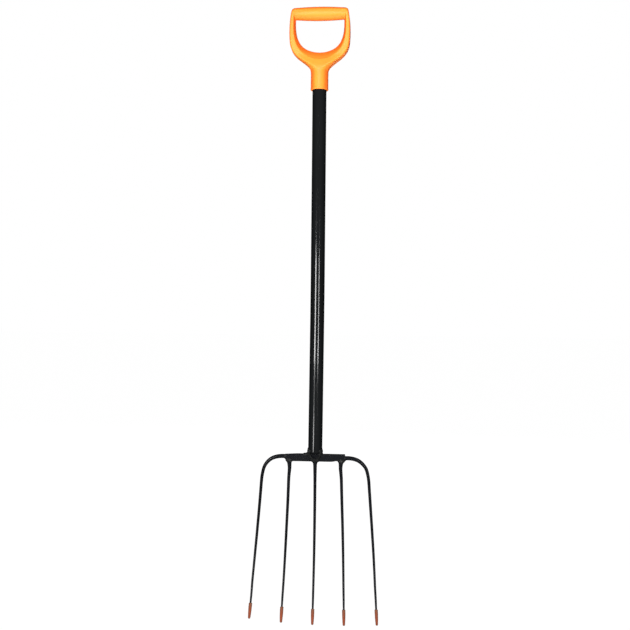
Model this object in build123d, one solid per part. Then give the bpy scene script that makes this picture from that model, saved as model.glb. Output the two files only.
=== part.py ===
from build123d import *
import math
import os

# Long-handled five-tine fork: moulded D-handle, bent steel tube, welded head,
# and a slip-on plastic guard on every tine tip.
# Millimetres. +Z up with the tips down, -Y is the hollow side of the tines,
# +X is to the right when looking at the hollow side.

# ---- driving dimensions -------------------------------------------------
HEIGHT = 1219.0            # tip guard to top of grip
SHAFT_Y = 20.0             # upper shaft axis, so that the whole sits centred on Y

# tube
TUBE_R = 14.0
TUBE_WALL = 1.5
TUBE_TOP = 1104.0          # end inside the handle socket
BEND_TOP = 703.0           # the gentle bend starts here
BEND_LENGTH = 140.0
BEND_ANGLE = 4.4           # degrees, lower end forward

# D-handle
GRIP_Z = 1205.1            # axis of the grip bar
GRIP_R_MID = 13.8
GRIP_R_END = 11.5
GRIP_HALF = 55.0
RING_HALF_DEPTH = 12.0     # flat faces of the D, front and back
SOCKET_R = 17.5
SOCKET_BOTTOM = 1052.0
SOCKET_LIP_R = 17.75
SOCKET_CLEARANCE = 0.05
OUTER_EDGE_R = 5.0
SCREW_Z = 1072.0
SCREW_HEAD_R = 4.2
SCREW_SHANK_R = 2.0

# head
BAR_HALF = 59.2
BAR_TOP = 328.7
BAR_HEIGHT = 15.0
BAR_DEPTH = 9.0
BAR_Y = -23.6              # from the upper shaft axis
WELD_LEG = 14.0

# tine tips: x, z of the lowest point of the guard, and sideways lean going up
TIP_Y = -54.1
TIP_RISE_Y = 0.231         # back per mm of height, last straight stretch
TIPS = {
    "outer_left": (-124.1, 8.0, 0.057),
    "inner_left": (-61.5, 2.4, 0.030),
    "center": (0.0, 0.0, 0.0),
    "inner_right": (61.5, 0.4, -0.030),
    "outer_right": (125.4, 3.0, -0.062),
}
TIP_END_GAP = 3.2          # plastic below the steel tip
TIP_END_R = 1.45
TIP_NECK_R = 2.1           # where the straight stretch begins
TIP_STRAIGHT = 38.0

# guard
CAP_LENGTH = 30.0
CAP_MOUTH_R = 3.35
CAP_END_R = 2.65
CAP_CLEARANCE = 0.15
CAP_TRAVEL = 34.0

# side profile of the tines: height, y from the upper shaft axis, width, depth
PROFILE = [
    (280.5, -21.9, 6.3, 7.8),
    (256.5, -21.2, 6.0, 7.5),
    (232.7, -20.9, 5.8, 7.2),
    (209.0, -21.2, 5.6, 6.9),
    (185.8, -22.0, 5.45, 6.6),
    (162.0, -23.5, 5.3, 6.3),
    (139.0, -25.7, 5.1, 6.0),
    (116.0, -28.8, 4.9, 5.6),
    (93.5, -32.9, 4.75, 5.2),
    (71.0, -37.8, 4.6, 4.9),
]
INNER_FOOT_X = 50.6
INNER_X = [52.1, 52.9, 53.7, 54.6, 55.5, 56.3, 57.1, 57.8, 58.5, 59.2]
OUTER_X = [105.8, 107.8, 109.6, 111.4, 113.2, 114.9, 116.6, 118.1, 119.5, 120.8]
# arch of the outer tines: x, z, width, depth, all at the bar's y
ARCH = [
    (63.5, 322.6, 8.3, 8.6),
    (68.5, 322.4, 8.2, 8.6),
    (74.0, 321.7, 8.1, 8.5),
    (80.0, 320.2, 7.9, 8.5),
    (85.5, 317.9, 7.7, 8.4),
    (90.4, 314.6, 7.5, 8.3),
    (94.7, 310.5, 7.2, 8.3),
    (98.3, 305.8, 6.9, 8.2),
    (101.1, 300.6, 6.7, 8.1),
    (103.2, 294.0, 6.6, 8.0),
]
ARCH_ROOT_Z = 322.3
ARCH_ROOT_W = 8.4
# the right arch is welded on a little lower than the left one
ARCH_SHIFT = {"outer_left": 0.5, "outer_right": -1.3}
# flared foot of an inner tine: distance below the bar, shift outwards, width, depth, squareness
FOOT = [
    (0.0, 0.4, 12.0, 8.8, 2.6),
    (2.4, 0.4, 9.9, 8.6, 2.5),
    (5.4, 0.2, 8.6, 8.4, 2.3),
    (9.0, 0.1, 7.8, 8.2, 2.1),
    (14.0, 0.0, 7.3, 8.1, 2.0),
]

os.makedirs("parts", exist_ok=True)


def save(shape, name):
    if isinstance(shape, (list, ShapeList)):
        shape = Compound(children=list(shape))
    shape.label = name
    export_step(shape, f"parts/{name}.step")
    print(name, round(shape.volume / 1000, 2), "cm3")


def oval(a, b, power=2.0, count=20):
    """A closed curve that starts on the x side; power 2 is an ellipse, more is squarer."""
    points = []
    for k in range(count):
        c, s = (f(2 * math.pi * k / count) for f in (math.cos, math.sin))
        points.append(
            (
                a * math.copysign(abs(c) ** (2 / power), c),
                b * math.copysign(abs(s) ** (2 / power), s),
            )
        )
    return make_face(Spline(*points, periodic=True))


def swept(stations, first_normal):
    """A solid through ovals; a station is (x, y, z, width, depth, power)."""
    faces = []
    n = len(stations)
    for i, (x, y, z, w, d, power) in enumerate(stations):
        a, b = stations[max(i - 1, 0)], stations[min(i + 1, n - 1)]
        along = Vector(a[0] - b[0], a[1] - b[1], a[2] - b[2]).normalized()
        if i == 0:
            along = first_normal
        side = Vector(0, 1, 0).cross(along).normalized()
        pl = Plane(origin=(x, y, z), x_dir=side, z_dir=along)
        faces.append(pl * oval(w / 2, d / 2, power))
    return loft(faces)


# ---- tube ---------------------------------------------------------------
bend = math.radians(BEND_ANGLE)
bend_r = BEND_LENGTH / bend
arc_z = BEND_TOP - bend_r * math.sin(bend)
arc_y = SHAFT_Y - bend_r * (1 - math.cos(bend))
low_z = BAR_TOP - 12.0
low_y = arc_y - (arc_z - low_z) * math.tan(bend)
path = Wire(
    [
        Line((0, SHAFT_Y, TUBE_TOP), (0, SHAFT_Y, BEND_TOP)).edge(),
        TangentArc(
            (0, SHAFT_Y, BEND_TOP), (0, arc_y, arc_z), tangent=(0, 0, -1)
        ).edge(),
        Line((0, arc_y, arc_z), (0, low_y, low_z)).edge(),
    ]
)
start = Plane(origin=(0, SHAFT_Y, TUBE_TOP), x_dir=(1, 0, 0), z_dir=(0, 0, -1))
tube_full = sweep(start * Circle(TUBE_R), path)
tube_hole = sweep(start * Circle(TUBE_R - TUBE_WALL), path)
tube = tube_full - tube_hole

# ---- bar ----------------------------------------------------------------
bar_y = SHAFT_Y + BAR_Y
bar_mid = (0, bar_y, BAR_TOP - BAR_HEIGHT / 2)
bar = Box(2 * BAR_HALF, BAR_DEPTH, BAR_HEIGHT)
bar = fillet(bar.edges().filter_by(Axis.X), 0.8)
bar = fillet(bar.edges().group_by(Axis.X)[0] + bar.edges().group_by(Axis.X)[-1], 0.5)
bar = Pos(*bar_mid) * bar
below_top = Pos(0, bar_y, BAR_TOP - 50) * Box(200, 200, 100)
tube = tube - below_top

# ---- tines --------------------------------------------------------------
tines = {}
tip_frames = {}
for name, (tx, tz, lean) in TIPS.items():
    up = Vector(lean, TIP_RISE_Y, 1).normalized()
    tip = Vector(tx, SHAFT_Y + TIP_Y, tz)
    side = Vector(0, 1, 0).cross(up).normalized()
    frame = Plane(origin=tip, x_dir=side, z_dir=up)
    tip_frames[name] = frame
    s = 1 if tx > 0 else -1
    stations = []
    if name.startswith("outer"):
        # butts against the end of the bar
        move = ARCH_SHIFT[name]
        normal = Vector(-s, 0, 0)
        stations.append((s * BAR_HALF, bar_y, ARCH_ROOT_Z + move, ARCH_ROOT_W, 8.6, 2.4))
        for x, z, w, d in ARCH:
            y = bar_y + max(0.0, 322.0 - z) / 22.0 * 0.6
            z += move * max(0.0, min(1.0, (107.0 - x) / 12.0))
            stations.append((s * x, y, z, w, d, 2.0))
        xs = OUTER_X
    else:
        # stands on the underside of the bar
        middle = name == "center"
        xs = [0.0] * len(PROFILE) if middle else INNER_X
        normal = Vector(0, 0, 1)
        for below, shift, w, d, power in FOOT:
            x = 0.0 if middle else s * (INNER_FOOT_X + shift)
            y = bar_y + 0.06 * max(0.0, below - 5.0)
            z = BAR_TOP - BAR_HEIGHT - below
            stations.append((x, y, z, w, d, power))
    for i in range(len(PROFILE)):
        z, y, w, d = PROFILE[i]
        # the tines differ a little in length, shared out over the lower half
        drop = tz * max(0.0, 1 - z / 185.0)
        stations.append((s * xs[i], SHAFT_Y + y, z + drop, w, d, 2.0))
    above = tip + up * (TIP_END_GAP + TIP_STRAIGHT + 7.0)
    stations.append((above.X, above.Y, above.Z, 4.35, 4.5, 2.0))
    for part_way in (1.0, 0.85, 0.7, 0.5, 0.3, 0.15, 0.0):
        at = tip + up * (TIP_END_GAP + part_way * TIP_STRAIGHT)
        dia = 2 * (TIP_END_R + (TIP_NECK_R - TIP_END_R) * part_way)
        stations.append((at.X, at.Y, at.Z, dia, dia, 2.0))
    tines[name] = swept(stations, normal)

# ---- tip guards ---------------------------------------------------------
caps = {}
slope = (TIP_NECK_R - TIP_END_R) / TIP_STRAIGHT
for name, frame in tip_frames.items():
    mouth_r = TIP_END_R + slope * (CAP_LENGTH - TIP_END_GAP) + CAP_CLEARANCE
    floor_z = TIP_END_GAP - 0.05
    outer = Polyline(
        (CAP_END_R, 2.2), (CAP_MOUTH_R, CAP_LENGTH - 0.6), (CAP_MOUTH_R - 0.3, CAP_LENGTH)
    )
    nose = Spline(
        (0, 0), (1.7, 0.55), (CAP_END_R, 2.2), tangents=((1, 0), (0.15, 1))
    )
    inner = Polyline(
        (CAP_MOUTH_R - 0.3, CAP_LENGTH),
        (mouth_r, CAP_LENGTH),
        (TIP_END_R + CAP_CLEARANCE, floor_z),
        (0, floor_z),
        (0, 0),
    )
    prof = Plane.XZ * make_face(nose.edges() + outer.edges() + inner.edges())
    cap = revolve(prof, Axis.Z)
    caps[name] = frame * cap

# ---- welds --------------------------------------------------------------
u_low = Vector(0, math.sin(bend), math.cos(bend))
foot_z = BAR_TOP
foot_y = arc_y - (arc_z - foot_z) * math.tan(bend)
weld_frame = Plane(origin=(0, foot_y, foot_z), x_dir=(1, 0, 0), z_dir=u_low)
weld_prof = Plane.XZ * make_face(
    Polyline(
        (0, -13.2),
        (4.6, -13.2),
        (7.4, -11.4),
        (11.0, -7.6),
        (14.3, -3.4),
        (15.5, 0.0),
        (15.6, 3.2),
        (15.0, 8.0),
        (14.35, WELD_LEG),
        (0, WELD_LEG),
        (0, -13.2),
    ).edges()
)
weld = weld_frame * revolve(weld_prof, Axis.Z)
lump = Pos(-17.5, bar_y, BAR_TOP - 0.6) * scale(Sphere(1.0), by=(9.0, 3.6, 3.4))
weld = weld + lump
weld = weld - tube_full.cut(below_top) - bar
weld = sorted(weld.solids(), key=lambda q: q.volume)[-1]

seams = {}
for name, (tx, _, _) in TIPS.items():
    s = 1 if tx > 0 else -1
    if name.startswith("outer"):
        # a fillet in the corner under the arch, against the end of the bar
        x0 = s * (BAR_HALF + 0.12)
        z0 = BAR_TOP - BAR_HEIGHT + 0.3
        under = ARCH_ROOT_Z + ARCH_SHIFT[name] - ARCH_ROOT_W / 2 - 0.2
        corners = [
            (x0, z0),
            (x0, under),
            (x0 + s * 7.2, under - 0.1),
            (x0 + s * 6.6, under - 0.6),
            (x0 + s * 2.4, under - 1.6),
            (x0, z0),
        ]
        face = make_face(Polyline(*corners).edges())
        pl = Plane(origin=(0, bar_y, 0), x_dir=(1, 0, 0), z_dir=(0, -1, 0))
        seams[name] = extrude(pl * face, 3.6, both=True).solids()
    else:
        # a bead along the front and the back of the joint
        cx = s * 50.9 if name != "center" else 0.0
        cz = BAR_TOP - BAR_HEIGHT + (0.4 if cx else -0.1)
        half = 5.5
        keep = []
        for side in (-1, 1):
            rod = Rot(0, 90, 0) * (
                Cylinder(1.3, 2 * half)
                + Pos(0, 0, half) * Sphere(1.3)
                + Pos(0, 0, -half) * Sphere(1.3)
            )
            rod = rod & Pos(0, side * 5, 0) * Box(40, 10, 10)
            rod = Pos(cx, bar_y + side * BAR_DEPTH / 2, cz) * rod
            keep += rod.solids()
        seams[name] = keep

# ---- D-handle -----------------------------------------------------------
half_outline = [
    (17.5, 1084.0),
    (17.6, 1090.0),
    (20.6, 1096.9),
    (23.8, 1101.0),
    (27.6, 1105.0),
    (32.8, 1109.0),
    (38.6, 1113.0),
    (43.9, 1117.0),
    (48.2, 1121.0),
    (51.9, 1125.4),
    (55.4, 1130.4),
    (58.0, 1137.0),
    (59.6, 1145.0),
    (60.5, 1156.0),
    (60.8, 1168.0),
    (60.5, 1180.0),
    (59.7, 1191.0),
    (58.6, 1200.0),
    (57.2, 1208.0),
]
right = Spline(*half_outline, tangents=((0, 1), (-0.2, 1)))
corner = [(57.2, 1208.0), (55.6, 1213.6), (51.5, 1216.6)]
rc = Spline(*corner, tangents=((-0.2, 1), (-1, 0.06)))
left = Spline(*[(-x, z) for x, z in half_outline], tangents=((0, 1), (0.2, 1)))
lc = Spline(*[(-x, z) for x, z in corner], tangents=((0.2, 1), (1, 0.06)))
top = ThreePointArc((51.5, 1216.6), (0, GRIP_Z + GRIP_R_MID), (-51.5, 1216.6))
base = Line((-17.5, 1084.0), (17.5, 1084.0))
outline = make_face(
    right.edges() + rc.edges() + top.edges() + lc.edges() + left.edges() + base.edges()
)
at_shaft = Plane(origin=(0, SHAFT_Y, 0), x_dir=(1, 0, 0), z_dir=(0, -1, 0))
whole_plate = extrude(at_shaft * outline, RING_HALF_DEPTH, both=True)
plate = whole_plate
# the top of the plate is rounded over to match the grip bar
side_prof = make_face(
    Polyline(
        (-RING_HALF_DEPTH, GRIP_Z), (-RING_HALF_DEPTH, 1000), (RING_HALF_DEPTH, 1000),
        (RING_HALF_DEPTH, GRIP_Z),
    ).edges()
    + ThreePointArc(
        (RING_HALF_DEPTH, GRIP_Z), (0, GRIP_Z + RING_HALF_DEPTH), (-RING_HALF_DEPTH, GRIP_Z)
    ).edges()
)
side_plane = Plane(origin=(0, SHAFT_Y, 0), x_dir=(0, 1, 0), z_dir=(1, 0, 0))
plate = plate & extrude(side_plane * side_prof, 100, both=True)


def opening(mid, y_at, top_z):
    pts = mid
    r = Spline(*pts, tangents=((1, 0.02), (0.0, 1)))
    l = Spline(*[(-x, z) for x, z in pts], tangents=((-1, 0.02), (0.0, 1)))
    xe, ze = pts[-1]
    box = Polyline((xe, ze), (xe, top_z), (-xe, top_z), (-xe, ze))
    pl = Plane(origin=(0, SHAFT_Y + y_at, 0), x_dir=(1, 0, 0), z_dir=(0, -1, 0))
    return pl * make_face(r.edges() + box.edges() + l.edges())


inner_mid = [
    (0.0, 1127.6), (12.0, 1128.9), (23.6, 1132.6), (31.6, 1137.2), (38.6, 1144.3),
    (43.2, 1152.6), (46.4, 1162.5), (48.0, 1173.0), (48.5, 1184.0),
]
inner_face = [
    (0.0, 1113.4), (14.5, 1115.0), (27.4, 1119.6), (37.2, 1126.8), (44.4, 1136.0),
    (49.0, 1147.0), (51.6, 1159.0), (52.6, 1171.0), (52.7, 1184.0),
]
flare = [
    (2 * b[0] - a[0], 2 * b[1] - a[1]) for a, b in zip(inner_mid, inner_face)
]
front = loft(
    [opening(inner_mid, 0, GRIP_Z), opening(flare, -2 * RING_HALF_DEPTH, GRIP_Z)],
    ruled=True,
)
back = loft(
    [opening(inner_mid, 0, GRIP_Z), opening(flare, 2 * RING_HALF_DEPTH, GRIP_Z)],
    ruled=True,
)
plate = plate - front - back
# near the neck the square corners of the plate are turned away
trumpet = Pos(0, SHAFT_Y, 0) * revolve(
    Plane.XZ
    * make_face(
        Line((0, 1080), (17.4, 1080)).edges()
        + Spline(
            (17.4, 1080), (17.5, 1088), (19.2, 1093.5), (23.0, 1099.5), (28.6, 1105.0),
            (38.0, 1111.5), (52.0, 1118.0), (80.0, 1126.0),
            tangents=((0, 1), (1, 0.25)),
        ).edges()
        + Polyline((80, 1126), (80, 1240), (0, 1240), (0, 1080)).edges()
    ),
    Axis.Z,
)

grip_prof = make_face(
    ThreePointArc(
        (-GRIP_HALF, GRIP_R_END - 0.3), (0, GRIP_R_MID), (GRIP_HALF, GRIP_R_END - 0.3)
    ).edges()
    + Polyline(
        (GRIP_HALF, GRIP_R_END - 0.3), (GRIP_HALF, 0), (-GRIP_HALF, 0),
        (-GRIP_HALF, GRIP_R_END - 0.3),
    ).edges()
)
grip = revolve(grip_prof, Axis.X)
grip = fillet(grip.edges().filter_by(GeomType.CIRCLE), 3.5)
grip = Pos(0, SHAFT_Y, GRIP_Z) * grip

# socket and the flare from it into the D
socket = Pos(0, SHAFT_Y, SOCKET_BOTTOM) * Cylinder(
    SOCKET_R, 1090.0 - SOCKET_BOTTOM, align=(Align.CENTER, Align.CENTER, Align.MIN)
)
lip = Pos(0, SHAFT_Y, SOCKET_BOTTOM) * Cylinder(
    SOCKET_LIP_R, 4.0, align=(Align.CENTER, Align.CENTER, Align.MIN)
)
lip = fillet(lip.edges().group_by(Axis.Z)[0] + lip.edges().group_by(Axis.Z)[-1], 1.2)
socket = fillet(socket.edges().group_by(Axis.Z)[0], 1.4) + lip
neck_sections = []
for z, hw, hd in [
    (1088.0, 17.5, 17.5),
    (1093.0, 18.2, 17.2),
    (1099.0, 21.6, 16.2),
    (1106.0, 27.2, 14.6),
    (1113.0, 33.0, 13.0),
]:
    neck_sections.append(Pos(0, SHAFT_Y, z) * Ellipse(hw, hd))
neck = loft(neck_sections)

plate = plate & trumpet

handle = plate + grip + socket + neck
bore_r = TUBE_R + SOCKET_CLEARANCE
bore = Pos(0, SHAFT_Y, SOCKET_BOTTOM - 1) * Cylinder(
    bore_r, TUBE_TOP + 0.5 - SOCKET_BOTTOM + 1, align=(Align.CENTER, Align.CENTER, Align.MIN)
)
handle = handle - bore
# screw on the back of the socket, into the tube
screw_at = Plane(origin=(0, SHAFT_Y + SOCKET_R, SCREW_Z), x_dir=(1, 0, 0), z_dir=(0, 1, 0))
head_recess = screw_at * (
    Pos(0, 0, -1.6) * Cylinder(SCREW_HEAD_R + 0.3, 4.0, align=(Align.CENTER, Align.CENTER, Align.MIN))
)
shank_hole = screw_at * (
    Pos(0, 0, -8.0) * Cylinder(SCREW_SHANK_R + 0.05, 8.0, align=(Align.CENTER, Align.CENTER, Align.MIN))
)
handle = handle - head_recess - shank_hole
handle = sorted(handle.solids(), key=lambda q: q.volume)[-1]
tube = tube - shank_hole
tube = sorted(tube.solids(), key=lambda q: q.volume)[-1]
head = Pos(0, 0, -1.6) * Cylinder(SCREW_HEAD_R, 1.5, align=(Align.CENTER, Align.CENTER, Align.MIN))
head = fillet(head.edges().group_by(Axis.Z)[-1], 0.7)
slot = Pos(0, 0, -0.5) * (Box(5.0, 0.9, 1.6) + Box(0.9, 5.0, 1.6))
shank = Pos(0, 0, -7.8) * Cylinder(SCREW_SHANK_R, 6.4, align=(Align.CENTER, Align.CENTER, Align.MIN))
screw = screw_at * (head - slot + shank)

# ---- write --------------------------------------------------------------
save(handle, "d_handle")
save(screw, "handle_screw")
save(tube, "shaft_tube")
save(weld, "shaft_weld")
save(bar, "head_crossbar")
for name in TIPS:
    save(tines[name], f"tine_{name}")
    save(seams[name], f"weld_{name}")
    save(caps[name], f"tip_guard_{name}")
    f = tip_frames[name]
    print(" axis down", [round(-v, 5) for v in tuple(f.z_dir)], "tip", [round(v, 2) for v in tuple(f.origin)])
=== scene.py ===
import math

import bpy
import numpy as np
from mathutils import Matrix, Vector


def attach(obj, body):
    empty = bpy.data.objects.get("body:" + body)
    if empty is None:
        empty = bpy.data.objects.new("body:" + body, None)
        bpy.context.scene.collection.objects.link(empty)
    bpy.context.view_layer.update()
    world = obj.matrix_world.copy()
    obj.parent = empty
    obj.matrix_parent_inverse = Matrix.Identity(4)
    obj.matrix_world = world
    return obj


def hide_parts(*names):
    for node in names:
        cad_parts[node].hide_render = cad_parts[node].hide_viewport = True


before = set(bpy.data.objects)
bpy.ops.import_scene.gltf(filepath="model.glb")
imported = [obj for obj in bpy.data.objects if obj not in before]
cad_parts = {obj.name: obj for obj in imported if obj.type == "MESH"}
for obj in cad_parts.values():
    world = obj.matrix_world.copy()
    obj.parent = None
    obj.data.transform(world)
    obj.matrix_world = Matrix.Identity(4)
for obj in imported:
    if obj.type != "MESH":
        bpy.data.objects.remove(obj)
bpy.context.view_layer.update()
MM = 0.001
rng = np.random.default_rng(7)

# ==========================================================================
# curves, distance fields and meshing, all in millimetres
# ==========================================================================


def catmull(points, per=12):
    """A smooth line through the points (centripetal), any dimension."""
    p = np.asarray(points, float)
    a = np.vstack([2 * p[0] - p[1], p, 2 * p[-1] - p[-2]])
    out = []
    for i in range(1, len(a) - 2):
        p0, p1, p2, p3 = a[i - 1], a[i], a[i + 1], a[i + 2]
        t0 = 0.0
        t1 = t0 + max(np.linalg.norm(p1 - p0), 1e-9) ** 0.5
        t2 = t1 + max(np.linalg.norm(p2 - p1), 1e-9) ** 0.5
        t3 = t2 + max(np.linalg.norm(p3 - p2), 1e-9) ** 0.5
        for t in np.linspace(t1, t2, per, endpoint=False):
            a1 = (t1 - t) / (t1 - t0) * p0 + (t - t0) / (t1 - t0) * p1
            a2 = (t2 - t) / (t2 - t1) * p1 + (t - t1) / (t2 - t1) * p2
            a3 = (t3 - t) / (t3 - t2) * p2 + (t - t2) / (t3 - t2) * p3
            b1 = (t2 - t) / (t2 - t0) * a1 + (t - t0) / (t2 - t0) * a2
            b2 = (t3 - t) / (t3 - t1) * a2 + (t - t1) / (t3 - t1) * a3
            out.append((t2 - t) / (t2 - t1) * b1 + (t - t1) / (t2 - t1) * b2)
    out.append(p[-1])
    return np.array(out)


def step(t):
    t = np.clip(t, 0.0, 1.0)
    return t * t * (3 - 2 * t)


def both(a, b, r):
    """Intersection of two fields with the edge rounded to radius r."""
    u, v = a + r, b + r
    return (
        np.minimum(np.maximum(u, v), 0)
        + np.hypot(np.maximum(u, 0), np.maximum(v, 0))
        - r
    )


def either(a, b, r):
    """Union of two fields with a fillet of radius r between them."""
    return -both(-a, -b, r)


def polygon_field(poly, x, z):
    """Signed distance from points to a closed polygon, negative inside."""
    px, pz = poly[:, 0], poly[:, 1]
    qx, qz = np.roll(px, -1), np.roll(pz, -1)
    best = np.full(x.shape, 1e18)
    inside = np.zeros(x.shape, bool)
    for ax, az, bx, bz in zip(px, pz, qx, qz):
        ex, ez = bx - ax, bz - az
        wx, wz = x - ax, z - az
        t = np.clip((wx * ex + wz * ez) / max(ex * ex + ez * ez, 1e-12), 0, 1)
        best = np.minimum(best, (wx - ex * t) ** 2 + (wz - ez * t) ** 2)
        if az != bz:
            cross = ((az > z) != (bz > z)) & (x < (bx - ax) * (z - az) / (bz - az) + ax)
            inside ^= cross
    d = np.sqrt(best)
    return np.where(inside, -d, d)


class Plan:
    """A polygon's distance field kept on a grid and read back smoothly."""

    def __init__(self, poly, lo, hi, h=0.5):
        self.lo, self.h = np.array(lo, float), h
        nx = int((hi[0] - lo[0]) / h) + 2
        nz = int((hi[1] - lo[1]) / h) + 2
        gx = lo[0] + h * np.arange(nx)
        gz = lo[1] + h * np.arange(nz)
        x, z = np.meshgrid(gx, gz, indexing="ij")
        self.v = polygon_field(poly, x, z)

    def __call__(self, x, z):
        u = np.clip((x - self.lo[0]) / self.h, 1, self.v.shape[0] - 3.001)
        w = np.clip((z - self.lo[1]) / self.h, 1, self.v.shape[1] - 3.001)
        i, j = u.astype(int), w.astype(int)
        fu, fw = u - i, w - j

        def weights(t):
            return (
                -0.5 * t + t**2 - 0.5 * t**3,
                1 - 2.5 * t**2 + 1.5 * t**3,
                0.5 * t + 2 * t**2 - 1.5 * t**3,
                -0.5 * t**2 + 0.5 * t**3,
            )

        wu, ww = weights(fu), weights(fw)
        total = 0.0
        for a in range(4):
            for b in range(4):
                total = total + wu[a] * ww[b] * self.v[i + a - 1, j + b - 1]
        return total


CORNERS = [(i, j, k) for i in (0, 1) for j in (0, 1) for k in (0, 1)]
EDGES = [
    (a, b)
    for n, a in enumerate(CORNERS)
    for b in CORNERS[n + 1 :]
    if sum(abs(p - q) for p, q in zip(a, b)) == 1
]


def solid_mesh(name, field, lo, hi, h, settle=4, smooth=True):
    """The zero surface of a field as an even quad mesh, each vertex settled onto it."""
    lo = np.array(lo, float)
    n = [int(math.ceil((b - a) / h)) + 1 for a, b in zip(lo, hi)]
    gx, gy, gz = (lo[i] + h * np.arange(n[i]) for i in range(3))
    v = np.empty(n)
    for i in range(0, n[0], 24):
        x, y, z = np.meshgrid(gx[i : i + 24], gy, gz, indexing="ij")
        v[i : i + 24] = field(x, y, z)
    v[v == 0] = 1e-9
    neg = v < 0
    count = sum(
        neg[i : n[0] - 1 + i, j : n[1] - 1 + j, k : n[2] - 1 + k].astype(np.int8)
        for i, j, k in CORNERS
    )
    cell = np.argwhere((count > 0) & (count < 8))
    index = np.full([m - 1 for m in n], -1, np.int64)
    index[cell[:, 0], cell[:, 1], cell[:, 2]] = np.arange(len(cell))
    total = np.zeros((len(cell), 3))
    hits = np.zeros(len(cell))
    for a, b in EDGES:
        va = v[cell[:, 0] + a[0], cell[:, 1] + a[1], cell[:, 2] + a[2]]
        vb = v[cell[:, 0] + b[0], cell[:, 1] + b[1], cell[:, 2] + b[2]]
        on = (va < 0) != (vb < 0)
        t = np.where(on, va / np.where(on, va - vb, 1), 0)
        at = np.array(a)[None] + t[:, None] * (np.array(b) - np.array(a))[None]
        total += np.where(on[:, None], at, 0)
        hits += on
    p = lo + h * (cell + total / hits[:, None])
    quads = []
    for d in range(3):
        e, f = (d + 1) % 3, (d + 2) % 3
        here = [slice(None)] * 3
        there = [slice(None)] * 3
        here[d], there[d] = slice(0, n[d] - 1), slice(1, n[d])
        for q in (e, f):
            here[q] = there[q] = slice(1, n[q] - 1)
        s0, s1 = neg[tuple(here)], neg[tuple(there)]
        at = np.argwhere(s0 != s1)
        flip = s0[at[:, 0], at[:, 1], at[:, 2]]
        at = at + np.array([0 if q == d else 1 for q in range(3)])
        ids = []
        for de, df in ((-1, -1), (0, -1), (0, 0), (-1, 0)):
            c = at.copy()
            c[:, e] += de
            c[:, f] += df
            ids.append(index[c[:, 0], c[:, 1], c[:, 2]])
        ids = np.stack(ids, 1)
        ids[~flip] = ids[~flip][:, ::-1]
        quads.append(ids)
    quads = np.vstack(quads)
    eps = 0.03
    for _ in range(settle):
        x, y, z = p.T
        val = field(x, y, z)
        g = np.stack(
            [
                field(x + eps, y, z) - field(x - eps, y, z),
                field(x, y + eps, z) - field(x, y - eps, z),
                field(x, y, z + eps) - field(x, y, z - eps),
            ],
            1,
        ) / (2 * eps)
        g2 = np.maximum((g * g).sum(1), 0.05)
        move = g * (val / g2)[:, None]
        far = np.linalg.norm(move, axis=1)
        move *= np.minimum(1, 0.4 * h / np.maximum(far, 1e-12))[:, None]
        p = p - move
    return quad_object(name, p, quads, smooth)


def quad_object(name, p, faces, smooth=True):
    me = bpy.data.meshes.new(name)
    p = np.asarray(p, float) * MM
    faces = np.asarray(faces)
    me.vertices.add(len(p))
    me.vertices.foreach_set("co", p.astype(np.float32).ravel())
    k = faces.shape[1]
    me.loops.add(faces.size)
    me.loops.foreach_set("vertex_index", faces.astype(np.int32).ravel())
    me.polygons.add(len(faces))
    me.polygons.foreach_set("loop_start", np.arange(0, faces.size, k, dtype=np.int32))
    me.update(calc_edges=True)
    me.validate()
    me.polygons.foreach_set("use_smooth", np.full(len(me.polygons), smooth))
    me.update()
    ob = bpy.data.objects.new(name, me)
    bpy.context.scene.collection.objects.link(ob)
    return ob


def mesh_object(name, p, faces, smooth=True):
    """Faces of any size."""
    me = bpy.data.meshes.new(name)
    me.from_pydata([tuple(float(c) * MM for c in q) for q in p], [], [tuple(int(i) for i in f) for f in faces])
    me.validate()
    me.polygons.foreach_set("use_smooth", np.full(len(me.polygons), smooth))
    me.update()
    ob = bpy.data.objects.new(name, me)
    bpy.context.scene.collection.objects.link(ob)
    return ob


def waves(x, y, z, size, seed):
    """Smooth random relief, about -1 to 1, made of a few crossed waves."""
    r = np.random.default_rng(seed)
    total = 0.0
    for _ in range(9):
        d = r.normal(size=3)
        d /= np.linalg.norm(d)
        k = 2 * math.pi / (size * r.uniform(0.7, 1.5))
        total = total + np.sin(k * (d[0] * x + d[1] * y + d[2] * z) + r.uniform(0, 6.28))
    return total / 4.2


# ==========================================================================
# sizes, as in the CAD
# ==========================================================================
SHAFT_Y = 20.0
TUBE_R, TUBE_WALL, TUBE_TOP = 14.0, 1.5, 1104.0
BEND_TOP, BEND_LENGTH, BEND = 703.0, 140.0, math.radians(4.4)
GRIP_Z, GRIP_R_MID, GRIP_R_END, GRIP_HALF = 1205.1, 13.8, 11.2, 55.0
SOCKET_R, SOCKET_BOTTOM, SOCKET_LIP_R = 17.5, 1052.0, 17.71
SCREW_Z = 1072.0
BAR_HALF, BAR_TOP, BAR_HEIGHT, BAR_DEPTH = 59.2, 328.7, 15.0, 9.0
BAR_Y = SHAFT_Y - 23.6

bend_r = BEND_LENGTH / BEND
ARC_Z = BEND_TOP - bend_r * math.sin(BEND)
ARC_Y = SHAFT_Y - bend_r * (1 - math.cos(BEND))


def tube_y(z):
    """Axis of the tube at a height."""
    z = np.asarray(z, float)
    a = np.arcsin(np.clip((BEND_TOP - z) / bend_r, 0, math.sin(BEND)))
    bent = SHAFT_Y - bend_r * (1 - np.cos(a))
    return np.where(z < ARC_Z, ARC_Y - (ARC_Z - z) * math.tan(BEND), bent)


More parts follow.
